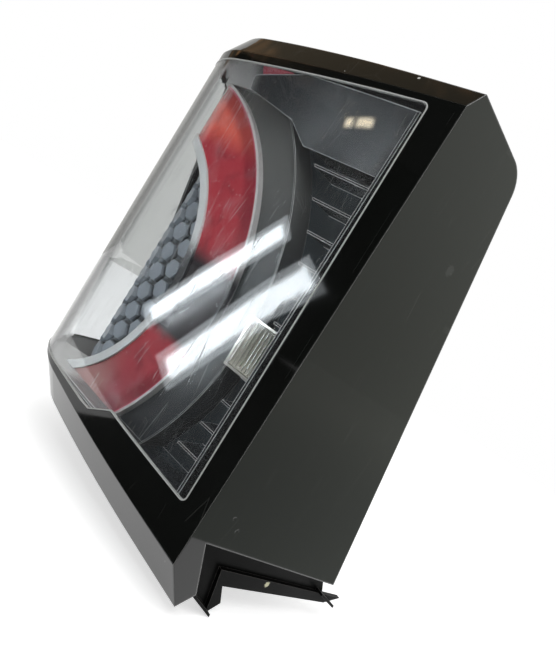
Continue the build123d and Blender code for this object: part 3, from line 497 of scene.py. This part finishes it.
class LAMP_OT_cover(bpy.types.Operator):
    """Gloss-black finish of the cover, with hairlines, smudges, specks and a few marks"""
    bl_idname = "lamp.cover"
    bl_label = "Finish the cover"

    def execute(self, context):
        values = context.scene.lamp_finishes
        cover = Finish("cover_gloss_black", values.gloss_black, IOR=GLOSS_IOR)
        smudge = cover.mask("hand_smudges", Scale=11.0)
        scratch = cover.mask("hairline_scratches", Scale=34.0, Width=0.004)
        speck = cover.mask("dust_specks", Scale=120.0, Size=0.07, Share=0.05)
        worn = cover.either(cover.share(scratch, 0.06), speck)
        # Painted highlight: the cover's sharp edges are painted pale, along with its real hairline and
        # speck wear
        cover.paint(cover.either(worn, cover.edges(radius=0.0009)), COVER_WEAR_AND_EDGE_HIGHLIGHT)
        cover.paint(cover.mark(*PRINT_MARK), COVER_PRINT)
        cover.paint(cover.mark(*CHIP_MARK), COVER_CHIP)
        # Painted light: the inner face of the left wall, behind the clear corner, is painted pale so that
        # it looks lit
        cover.paint(self.painted_light_left_wall(cover), COVER_CORNER_PAINTED_LIGHT)
        wiped = map_range(cover.tree, smudge, start=0.0, end=1.0, low=0.05, high=0.12)
        cover.feed("Roughness", math_node(cover.tree, "ADD", wiped, cover.share(scratch, 0.03)))
        pits = cover.either(*[cover.mark(*pit) for pit in PIT_MARKS])
        level = math_node(cover.tree, "SUBTRACT", cover.share(smudge, 0.02), pits)
        relief = cover.bump(level, distance=0.0004, strength=0.4)
        give(cover.tree, relief.inputs["Normal"], cover.rounded_edges(values.crease_radius))
        cover.put_on("cover_frame")
        return {"FINISHED"}

    def painted_light_left_wall(self, cover):
        """Mask of the left wall's inner face behind the clear corner, where the black is painted pale as
        painted light.
        """
        geometry = add_node(cover.tree, "ShaderNodeNewGeometry")
        facing = split_xyz(cover.tree, geometry.outputs["True Normal"])
        inward = math_node(cover.tree, "GREATER_THAN", facing["X"], 0.5)
        return cover.share(cover.fade("X", LEFT_WALL_X), inward)


class LAMP_OT_lens(bpy.types.Operator):
    """Clear finish of the outer lens, with fine scratches and smudges"""
    bl_idname = "lamp.lens"
    bl_label = "Finish the lens"

    def execute(self, context):
        lens = Finish("lens_clear", LENS_CLEAR, Transmission_Weight=0.988, IOR=CLEAR_IOR)
        haze = lens.share(lens.mask("hand_smudges", Scale=16.0), 0.003)
        scratch = lens.mask("hairline_scratches", Scale=42.0, Width=0.006)
        lens.feed("Roughness", math_node(lens.tree, "ADD", haze, lens.share(scratch, 0.25)))
        lens.bump(scratch, distance=0.00003, strength=0.5)
        facing = add_node(lens.tree, "ShaderNodeLayerWeight").outputs["Facing"]
        # Painted shade: a dark rim where the lens is seen edge-on stands in for the dark surroundings that
        # its edge refracts
        lens.paint(map_range(lens.tree, facing, start=0.50, end=0.72), LENS_RIM_PAINTED_SHADE)
        lens.let_shadows_through()
        lens.put_on("outer_lens")
        return {"FINISHED"}


class LAMP_OT_weld_bead(bpy.types.Operator):
    """Bead where the window is welded into the cover, drawn along the lens's sharp edges"""
    bl_idname = "lamp.weld_bead"
    bl_label = "Add the weld bead"

    def execute(self, context):
        values = context.scene.lamp_finishes
        bpy.ops.object.select_all(action="DESELECT")
        bead = NODES["outer_lens"].copy()
        bead.data = NODES["outer_lens"].data.copy()
        bead.parent = None
        for key in list(bead.keys()):
            del bead[key]
        bead.name = "weld_bead"
        context.collection.objects.link(bead)
        context.view_layer.objects.active = bead
        bead.select_set(True)
        bpy.ops.object.mode_set(mode="EDIT")
        bpy.ops.mesh.select_all(action="SELECT")
        bpy.ops.mesh.remove_doubles(threshold=MERGE_DISTANCE)
        bpy.ops.mesh.select_all(action="DESELECT")
        bpy.ops.mesh.select_mode(type="EDGE")
        bpy.ops.mesh.edges_select_sharp(sharpness=WINDOW_EDGE_ANGLE)
        bpy.ops.mesh.select_all(action="INVERT")
        bpy.ops.mesh.delete(type="EDGE_FACE")
        bpy.ops.object.mode_set(mode="OBJECT")
        bpy.ops.object.convert(target="CURVE")
        bead = context.view_layer.objects.active
        bead.data.bevel_depth = values.bead_radius
        bead.data.bevel_resolution = 2
        bpy.ops.object.convert(target="MESH")
        bead = context.view_layer.objects.active
        bpy.ops.object.shade_smooth()
        finish = Finish("weld_bead_clear", BEAD_GREY, IOR=CLEAR_IOR)
        finish.grain(scale=700.0, low=0.12, high=0.3, depth=0.0001)
        bead.data.materials.clear()
        bead.data.materials.append(finish.material)
        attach(bead, "root")
        return {"FINISHED"}


class LAMP_OT_tray(bpy.types.Operator):
    """Satin dark finish of the tray, the sweep band and the honeycomb"""
    bl_idname = "lamp.tray"
    bl_label = "Finish the dark inner pieces"

    def execute(self, context):
        values = context.scene.lamp_finishes
        self.finish_tray(values)
        self.finish_sweep_band(values)
        self.finish_honeycomb(values)
        return {"FINISHED"}

    def finish_tray(self, values):
        tray = Finish("tray_satin_dark", values.tray_grey, Specular_IOR_Level=SATIN_SPECULAR)
        scratch = tray.mask("hairline_scratches", Scale=48.0, Width=0.006)
        speck = tray.mask("dust_specks", Scale=330.0, Size=0.13, Share=0.012)
        worn = tray.share(tray.either(tray.share(scratch, 0.12), speck), 0.3)
        # Painted light: the deep back of the tray is painted paler and bluer to make up for the light that
        # hardly reaches it
        tray.paint(tray.fade("Y", TRAY_DEEP_PAINTED_LIGHT_Y), TRAY_DEEP_PAINTED_LIGHT)
        # Painted light: the tray's left part behind the clear corner is painted pale so that it looks lit
        tray.paint(tray.fade("X", CLEAR_CORNER_X), TRAY_CORNER_PAINTED_LIGHT)
        # Painted highlight on the sharp edges of the ribs, together with the real scratch and speck wear
        tray.paint(tray.either(worn, tray.edges(radius=0.0015)), TRAY_WEAR_AND_EDGE_HIGHLIGHT)
        tray.grain(scale=900.0, low=0.20, high=0.30, depth=0.000003)
        tray.put_on("inner_bezel")

    def finish_sweep_band(self, values):
        sweep = Finish("sweep_band_smooth", values.sweep_grey, Specular_IOR_Level=SATIN_SPECULAR)
        scratch = sweep.mask("hairline_scratches", Scale=48.0, Width=0.006)
        # Painted light: the band is painted paler towards its top
        sweep.paint(sweep.fade("Z", SWEEP_PAINTED_LIGHT_Z), SWEEP_PAINTED_LIGHT)
        # Painted highlight on the band's sharp edges, together with its real scratches
        sweep.paint(sweep.either(sweep.share(scratch, 0.2), sweep.edges(radius=0.0009)), SWEEP_WEAR_AND_EDGE_HIGHLIGHT)
        sweep.grain(scale=900.0, low=0.18, high=0.26, depth=0.000003)
        sweep.put_on("sweep_band")

    def finish_honeycomb(self, values):
        # Painted shade: the base colour is the near-black of the grooves, and the grey goes only where
        # ambient occlusion finds open tops
        honeycomb = Finish("honeycomb_fine_grain", HONEYCOMB_GROOVE_SHADE)
        tree = honeycomb.tree
        light = add_node(tree, "ShaderNodeAmbientOcclusion", {"Distance": GROOVE_REACH}, samples=6)
        tops = map_range(tree, light.outputs["AO"], start=0.55, end=0.9)
        honeycomb.paint(tops, tuple(values.honeycomb_grey))
        # Painted highlight along the sharp edges of the hexagons
        honeycomb.paint(honeycomb.edges(radius=0.0006), HONEYCOMB_EDGE_HIGHLIGHT)
        honeycomb.grain(scale=1400.0, low=0.32, high=0.45, depth=0.00002)
        honeycomb.put_on("honeycomb_panel")


class LAMP_OT_rings(bpy.types.Operator):
    """Red finish of the tail light and the reflex strip, white finish of the guides"""
    bl_idname = "lamp.rings"
    bl_label = "Finish the tail light"

    def execute(self, context):
        values = context.scene.lamp_finishes
        red = tuple(values.signal_red)
        # Paler red for the painted highlights on the tail lens's rim and on the reflector's cells
        red_highlight = tuple(min(1.0, channel * gain) for channel, gain in zip(red, HIGHLIGHT_GAIN)) + (1,)
        self.finish_tail_lens(red, red_highlight)
        self.finish_reflex(red, red_highlight)
        self.finish_guide("guide_frosted_white", tuple(values.guide_white), "inner_light_guide")
        self.finish_guide("guide_edge_frosted", tuple(values.edge_white), "outer_light_guide")
        return {"FINISHED"}

    def finish_tail_lens(self, red, red_highlight):
        """Red that turns orange at the upper end and deep at the outer edge, with a painted pale
        reflection at the lower end and a painted highlight along the rim.
        """
        tail = Finish("tail_lens_red", red, IOR=GLOSS_IOR)
        radius = tail.effect("ring_radius")["Radius"]
        lower = tail.fade("Z", RING_LOWER_Z)
        tail.paint(tail.fade("Z", RING_ORANGE_Z), RING_ORANGE)
        tail.paint(lower, RING_LOWER)
        tail.paint(tail.share(tail.mask("hand_smudges", Scale=45.0), 0.45), RING_CLOUD)
        tail.paint(map_range(tail.tree, radius, *RING_DEEP_RADIUS, high=0.65), RING_DEEP)
        # Painted reflection: the lower end of the red lens is painted pale
        tail.paint(tail.share(lower, tail.fade("X", RING_PAINTED_REFLECTION_X)), RING_PAINTED_REFLECTION)
        # Painted sheen: a pale veil in patches stands in for the whitish reflection over the red
        tail.paint(tail.share(tail.mask("hand_smudges", Scale=26.0), 0.14), RING_PAINTED_SHEEN)
        speck = tail.mask("dust_specks", Scale=300.0, Size=0.2, Share=0.12)
        scratch = tail.mask("hairline_scratches", Scale=48.0, Width=0.006)
        tail.paint(tail.share(tail.either(speck, scratch), 0.35), RING_SCUFF)
        # Painted highlight: a thin pale line along the outer rim of the red lens
        tail.paint(map_range(tail.tree, radius, *RING_RIM_RADIUS), red_highlight)
        tail.paint(tail.mask("dark_middle"), RING_MIDDLE)
        tail.grain(scale=900.0, low=0.10, high=0.18, depth=0.000002)
        tail.put_on("tail_lens")

    def finish_reflex(self, red, red_highlight):
        """Red with the small cells of a reflector, painted paler towards their borders as a painted glint.
        """
        reflex = Finish("reflex_red", red, Roughness=0.12)
        cells = add_node(reflex.tree, "ShaderNodeTexVoronoi", {"Vector": reflex.place, "Scale": 420.0})
        # Painted glint: the reflector's cells are painted paler towards their borders
        reflex.paint(cells.outputs["Distance"], red_highlight)
        reflex.bump(cells.outputs["Distance"], distance=0.0003)
        reflex.put_on("reflex_reflector")

    def finish_guide(self, name, colour, node):
        """Frosted guide, painted dark between the two arms of the ring."""
        guide = Finish(name, colour)
        cloud = guide.grain(scale=900.0, low=0.2, high=0.35, depth=0.000004)
        guide.paint(cloud, tuple(channel * FROST_SHADE for channel in colour[:3]) + (1,))
        guide.paint(guide.mask("dark_middle"), GUIDE_MIDDLE)
        guide.put_on(node)


class LAMP_OT_reverse(bpy.types.Operator):
    """Chrome and clear finish of the reverse light, and its light source"""
    bl_idname = "lamp.reverse"
    bl_label = "Finish the reverse light"

    def execute(self, context):
        plated("reverse_chrome", CUP_CHROME, "reverse_reflector",
               metallic=0.45, scale=300.0, low=0.05, high=0.16, depth=0.00003)
        lens = Finish("reverse_lens_clear", REVERSE_CLEAR, Transmission_Weight=1.0, IOR=CLEAR_IOR)
        lens.grain(scale=400.0, low=0.02, high=0.1)
        lens.let_shadows_through()
        lens.put_on("reverse_lens")
        moulded("reverse_chip_phosphor", PHOSPHOR, ["reverse_led"],
                scale=900.0, low=0.35, high=0.5, depth=0.00003)
        return {"FINISHED"}


class LAMP_OT_electronics(bpy.types.Operator):
    """Finish of the boards, the tail light's sources and the control unit"""
    bl_idname = "lamp.electronics"
    bl_label = "Finish the electronics"

    def execute(self, context):
        values = context.scene.lamp_finishes
        moulded("board_solder_resist", values.board_green, ["tail_board", "reverse_board", "module_board"],
                scale=600.0, low=0.25, high=0.4, depth=0.00003)
        moulded("tail_chips_resin", CHIP_RESIN, ["tail_leds"],
                scale=900.0, low=0.2, high=0.35, depth=0.00002)
        moulded("module_case_black", values.housing_black, ["module_case"],
                scale=900.0, low=0.4, high=0.6, depth=0.00005)
        plated("module_lid_satin_aluminium", ALUMINIUM, "module_lid",
               metallic=1.0, scale=800.0, low=0.3, high=0.45, depth=0.00003)
        return {"FINISHED"}


class LAMP_OT_back(bpy.types.Operator):
    """Finish of the rear housing, its seals, studs, pin, vents and socket, and of the tray's screws"""
    bl_idname = "lamp.back"
    bl_label = "Finish the back"

    def execute(self, context):
        self.finish_housing(context.scene.lamp_finishes)
        moulded("gasket_foam", FOAM_BLACK, ["body_gasket"],
                scale=1800.0, low=0.8, high=0.95, depth=0.0003)
        moulded("seal_black", SEAL_BLACK, ["lens_seal", "vent_caps"],
                scale=300.0, low=0.5, high=0.7, depth=0.0001)
        moulded("pin_natural_nylon", NYLON, ["locating_pin"],
                scale=700.0, low=0.4, high=0.55, depth=0.00004)
        self.finish_threads()
        plated("terminal_tinned_brass", TINNED_BRASS, "connector_terminals",
               metallic=1.0, scale=900.0, low=0.2, high=0.35)
        return {"FINISHED"}

    def finish_housing(self, values):
        """Matte black, paler in the tub than on the ledge, with edges painted paler and a dot of paint."""
        housing = Finish("housing_matte_black", values.housing_black, Specular_IOR_Level=MATTE_SPECULAR)
        housing.paint(housing.fade("X", HOUSING_INNER_X), HOUSING_INNER)
        housing.paint(housing.share(housing.mask("hand_smudges", Scale=18.0), 0.2), HOUSING_WIPED)
        housing.paint(housing.edges(radius=0.0007), HOUSING_EDGE)
        housing.paint(housing.mark(*PAINT_MARK), PAINT_DOT)
        housing.grain(scale=1100.0, low=0.30, high=0.42, depth=0.00002)
        housing.put_on("rear_housing", "connector_socket")

    def finish_threads(self):
        """Zinc-plated steel with the fine grooves of a thread along Y."""
        zinc = Finish("zinc_plated_steel", ZINC, Metallic=1.0)
        texture = zinc.grain(scale=420.0, low=0.22, high=0.42)
        thread = math_node(zinc.tree, "SINE", zinc.share(zinc.axis("Y"), 2 * pi / THREAD_PITCH))
        zinc.bump(math_node(zinc.tree, "ADD", thread, zinc.share(texture, 0.2)), distance=0.0002)
        zinc.put_on("mounting_studs", "bezel_screws")


# Stage

def aimed(place, target, along):
    """Matrix of a lamp or card at a place that faces a target, with its length along a line."""
    back = (Vector(place) - Vector(target)).normalized()
    length = Vector(along) - back * Vector(along).dot(back)
    length.normalize()
    side = back.cross(length)
    turn = Matrix((length, side, back)).transposed().to_4x4()
    return Matrix.Translation(place) @ turn


def glowing(name, colour=WHITE, strength=1.0):
    """Black finish of a card that gives light."""
    return Finish(name, BLACK, Roughness=1.0, Emission_Color=colour, Emission_Strength=strength)


class LAMP_OT_stage(bpy.types.Operator):
    """White floor, room light, key light, cards that the gloss mirrors, and the camera"""
    bl_idname = "lamp.stage"
    bl_label = "Set the stage"

    def execute(self, context):
        values = context.scene.lamp_stage
        bpy.ops.object.select_all(action="DESELECT")
        self.set_camera(context, values)
        self.set_world(context, values)
        self.add_floor(context, values)
        self.add_key_light(context, values)
        self.add_streaks(context, values)
        self.add_warm_lamp(context)
        self.add_flags(context)
        self.add_grey_cards(context)
        context.scene.view_settings.view_transform = "Standard"
        return {"FINISHED"}

    def set_camera(self, context, values):
        yaw, pitch, roll = values.camera_yaw, values.camera_pitch, values.camera_roll
        back = Vector((sin(yaw) * cos(pitch), -cos(yaw) * cos(pitch), sin(pitch)))
        level = (-back).cross(Vector((0, 0, 1))).normalized()
        rise = level.cross(-back)
        right = cos(roll) * level + sin(roll) * rise
        upward = -sin(roll) * level + cos(roll) * rise
        bpy.ops.object.camera_add()
        camera = context.view_layer.objects.active
        camera.name = "photo_camera"
        turn = Matrix((right, upward, back)).transposed().to_4x4()
        camera.matrix_world = Matrix.Translation(values.camera_place) @ turn
        camera.data.sensor_width = SENSOR_WIDTH
        camera.data.lens = values.focal_length
        camera.data.clip_start = NEAREST_SEEN
        context.scene.camera = camera

    def set_world(self, context, values):
        """White to the camera, the gloss and the clear plastic, and dimmer as a light."""
        world = context.scene.world or bpy.data.worlds.new("room")
        context.scene.world = world
        world.use_nodes = True
        tree = world.node_tree
        tree.nodes.clear()
        path = add_node(tree, "ShaderNodeLightPath").outputs
        seen = math_node(tree, "MAXIMUM", path["Is Camera Ray"], path["Is Glossy Ray"])
        seen = math_node(tree, "MAXIMUM", seen, path["Is Transmission Ray"])
        room = add_node(tree, "ShaderNodeBackground", {"Strength": values.world_level})
        white = add_node(tree, "ShaderNodeBackground", {"Color": WHITE})
        blend = add_node(tree, "ShaderNodeMixShader", {0: seen, 1: room.outputs[0], 2: white.outputs[0]})
        add_node(tree, "ShaderNodeOutputWorld", {"Surface": blend.outputs[0]})

    def add_floor(self, context, values):
        bpy.ops.mesh.primitive_plane_add(size=8.0, location=(0, 0, FLOOR_Z))
        floor = context.view_layer.objects.active
        floor.name = "floor"
        finish = Finish("floor_white", FLOOR_WHITE, Roughness=0.9, Emission_Color=WHITE)
        path = add_node(finish.tree, "ShaderNodeLightPath").outputs
        seen = finish.either(path["Is Camera Ray"], path["Is Glossy Ray"])
        finish.feed("Emission Strength", finish.share(seen, values.floor_glow))
        floor.data.materials.append(finish.material)

    def add_key_light(self, context, values):
        bpy.ops.object.light_add(type="AREA")
        lamp = context.view_layer.objects.active
        lamp.name = "key_light"
        lamp.data.energy = values.key_power
        lamp.data.shape = "RECTANGLE"
        lamp.data.size = 1.2
        lamp.data.size_y = 0.9
        lamp.matrix_world = aimed(place=(0.35, -0.75, 1.1), target=(0.0, -0.1, 0.0), along=(1, 0, 0))

    def add_card(self, context, name, finish, place, target, along, length, width):
        """Flat card that only the gloss and the clear plastic show."""
        bpy.ops.mesh.primitive_plane_add(size=1.0)
        card = context.view_layer.objects.active
        card.name = name
        card.matrix_world = aimed(place, target, along) @ Matrix.Diagonal((length, width, 1.0, 1.0))
        card.data.materials.append(finish.material)
        card.visible_camera = False
        card.visible_diffuse = False
        card.visible_shadow = False

    def add_floor_card(self, context, name, finish, x_span, y_span, lift):
        """Card that lies just above the floor, between two places in X and two in Y."""
        place = Vector((sum(x_span) / 2, sum(y_span) / 2, FLOOR_Z + lift))
        self.add_card(context, name, finish, place, target=place - Vector((0, 0, 1)), along=(1, 0, 0),
                      length=x_span[1] - x_span[0], width=y_span[1] - y_span[0])

    def soft_strip(self, finish, length_fade, width_fade):
        """Mask of a soft strip about a card's middle, in shares of the card's length and width."""
        along = math_node(finish.tree, "ABSOLUTE", finish.axis("X"))
        across = math_node(finish.tree, "ABSOLUTE", finish.axis("Y"))
        return finish.share(map_range(finish.tree, along, *length_fade),
                            map_range(finish.tree, across, *width_fade))

    def add_streaks(self, context, values):
        """Two soft tubes of light in their fittings, whose mirror images run across the lens."""
        glow = glowing("streak_glow", TUBE_LIGHT)
        tube = self.soft_strip(glow, length_fade=(0.47, 0.42), width_fade=(0.36, 0.15))
        fitting = self.soft_strip(glow, length_fade=(0.50, 0.48), width_fade=(0.50, 0.44))
        shape = math_node(glow.tree, "ADD", tube, glow.share(fitting, FITTING_GLOW))
        glow.feed("Emission Strength", glow.share(shape, values.streak_glow))
        self.add_card(context, "upper_streak", glow, length=0.372, width=0.062,
                      place=(-0.458, -0.657, -0.036), target=(0.042, -0.18, -0.002),
                      along=(0.186, -0.129, 0.295))
        self.add_card(context, "lower_streak", glow, length=0.303, width=0.074,
                      place=(-0.212, -0.549, -0.070), target=(0.084, -0.182, -0.022),
                      along=(0.141, -0.075, 0.257))

    def add_warm_lamp(self, context):
        """Two soft warm bulbs side by side, which the lens mirrors near its upper right corner."""
        warm = glowing("lamp_glow", WARM_LIGHT)
        tree = warm.tree
        bulbs = []
        for centre, half in ((-0.27, 0.02), (0.16, 0.12)):
            reach = math_node(tree, "ABSOLUTE", math_node(tree, "SUBTRACT", warm.axis("X"), centre))
            bulbs.append(map_range(tree, reach, start=half + BULB_SOFTNESS, end=half))
        height = map_range(tree, math_node(tree, "ABSOLUTE", warm.axis("Y")), start=0.45, end=0.05)
        shape = warm.share(math_node(tree, "ADD", *bulbs), height)
        warm.feed("Emission Strength", warm.share(shape, WARM_GLOW))
        self.add_card(context, "warm_lamp", warm, length=0.112, width=0.040,
                      place=(-0.528, -0.929, 0.407), target=(0.078, -0.182, 0.137),
                      along=(0.074, -0.037, 0.028))

    def add_flags(self, context):
        """Black cards in front and low, which keep the gloss dark, and a glowing brown one above, which
        the gloss mirrors.
        """
        black = Finish("flag_black", FLAG_BLACK, Roughness=1.0)
        self.add_card(context, "front_flag", black, place=(-0.95, -1.55, -0.1),
                      target=(0.03, -0.18, 0.0), along=(0, 0, 1), length=3.0, width=3.4)
        self.add_floor_card(context, "low_flag", black,
                            x_span=(-0.13, 0.255), y_span=(-1.6, -0.21), lift=0.008)
        self.add_floor_card(context, "low_flag_left", black,
                            x_span=(-1.495, -0.13), y_span=(-1.6, -0.33), lift=0.008)
        brown = glowing("flag_brown", strength=1.8)
        cloud = brown.mask("hand_smudges", Scale=7.0)
        glow = mix_colour(brown.tree, cloud, FLAG_BROWN, FLAG_AMBER)
        above = brown.fade("Y", (-0.05, 0.18))
        brown.feed("Emission Color", mix_colour(brown.tree, above, FLAG_DARK, glow))
        self.add_card(context, "upper_flag", brown, place=(-0.70, -0.80, 1.15),
                      target=(0.03, -0.18, 0.1), along=(0, 0, 1), length=1.7, width=3.4)

    def shaded_grey(self, name, span, first, second):
        """Glow of a card that changes along its length from one grey to another."""
        finish = glowing(name)
        finish.feed("Emission Color", mix_colour(finish.tree, finish.fade("X", span), first, second))
        return finish

    def add_grey_cards(self, context):
        """Grey cards that the side panel mirrors, and a pale one behind the clear corner."""
        side = self.shaded_grey("card_grey_side", (-0.10, 0.35), CARD_GREY, CARD_LIGHT)
        self.add_card(context, "side_card", side, place=(2.0, 0.95, 0.1),
                      target=(0.15, 0.0, 0.0), along=(0, 0, 1), length=3.0, width=4.0)
        low = self.shaded_grey("card_grey_low", (-0.50, -0.15), CARD_DARK, CARD_GREY)
        self.add_floor_card(context, "side_low_card", low,
                            x_span=(0.25, 3.25), y_span=(-0.5, 2.3), lift=0.009)
        self.add_card(context, "corner_card", glowing("card_pale", CARD_PALE), place=(-1.2, 0.75, 0.0),
                      target=(0.33, -0.52, 0.02), along=(0, 0, 1), length=3.0, width=3.0)


OPERATORS = (
    LAMP_OT_cover,
    LAMP_OT_lens,
    LAMP_OT_weld_bead,
    LAMP_OT_tray,
    LAMP_OT_rings,
    LAMP_OT_reverse,
    LAMP_OT_electronics,
    LAMP_OT_back,
    LAMP_OT_stage,
)


class VIEW3D_PT_lamp(bpy.types.Panel):
    """Sizes, colours and steps of the tail light"""
    bl_label = "Tail light"
    bl_space_type = "VIEW_3D"
    bl_region_type = "UI"
    bl_category = "Tail light"

    def draw(self, context):
        for group in (context.scene.lamp_finishes, context.scene.lamp_stage):
            for name in group.__annotations__:
                self.layout.prop(group, name)
        for operator in OPERATORS:
            self.layout.operator(operator.bl_idname)


CLASSES = (LampFinishes, LampStage) + OPERATORS + (VIEW3D_PT_lamp,)


def register():
    for item in CLASSES:
        bpy.utils.register_class(item)
    bpy.types.Scene.lamp_finishes = PointerProperty(type=LampFinishes)
    bpy.types.Scene.lamp_stage = PointerProperty(type=LampStage)


def unregister():
    del bpy.types.Scene.lamp_stage
    del bpy.types.Scene.lamp_finishes
    for item in reversed(CLASSES):
        bpy.utils.unregister_class(item)


def main():
    register()
    bpy.ops.lamp.cover()
    bpy.ops.lamp.lens()
    bpy.ops.lamp.weld_bead()
    bpy.ops.lamp.tray()
    bpy.ops.lamp.rings()
    bpy.ops.lamp.reverse()
    bpy.ops.lamp.electronics()
    bpy.ops.lamp.back()
    bpy.ops.lamp.stage()


if __name__ == "__main__":
    main()
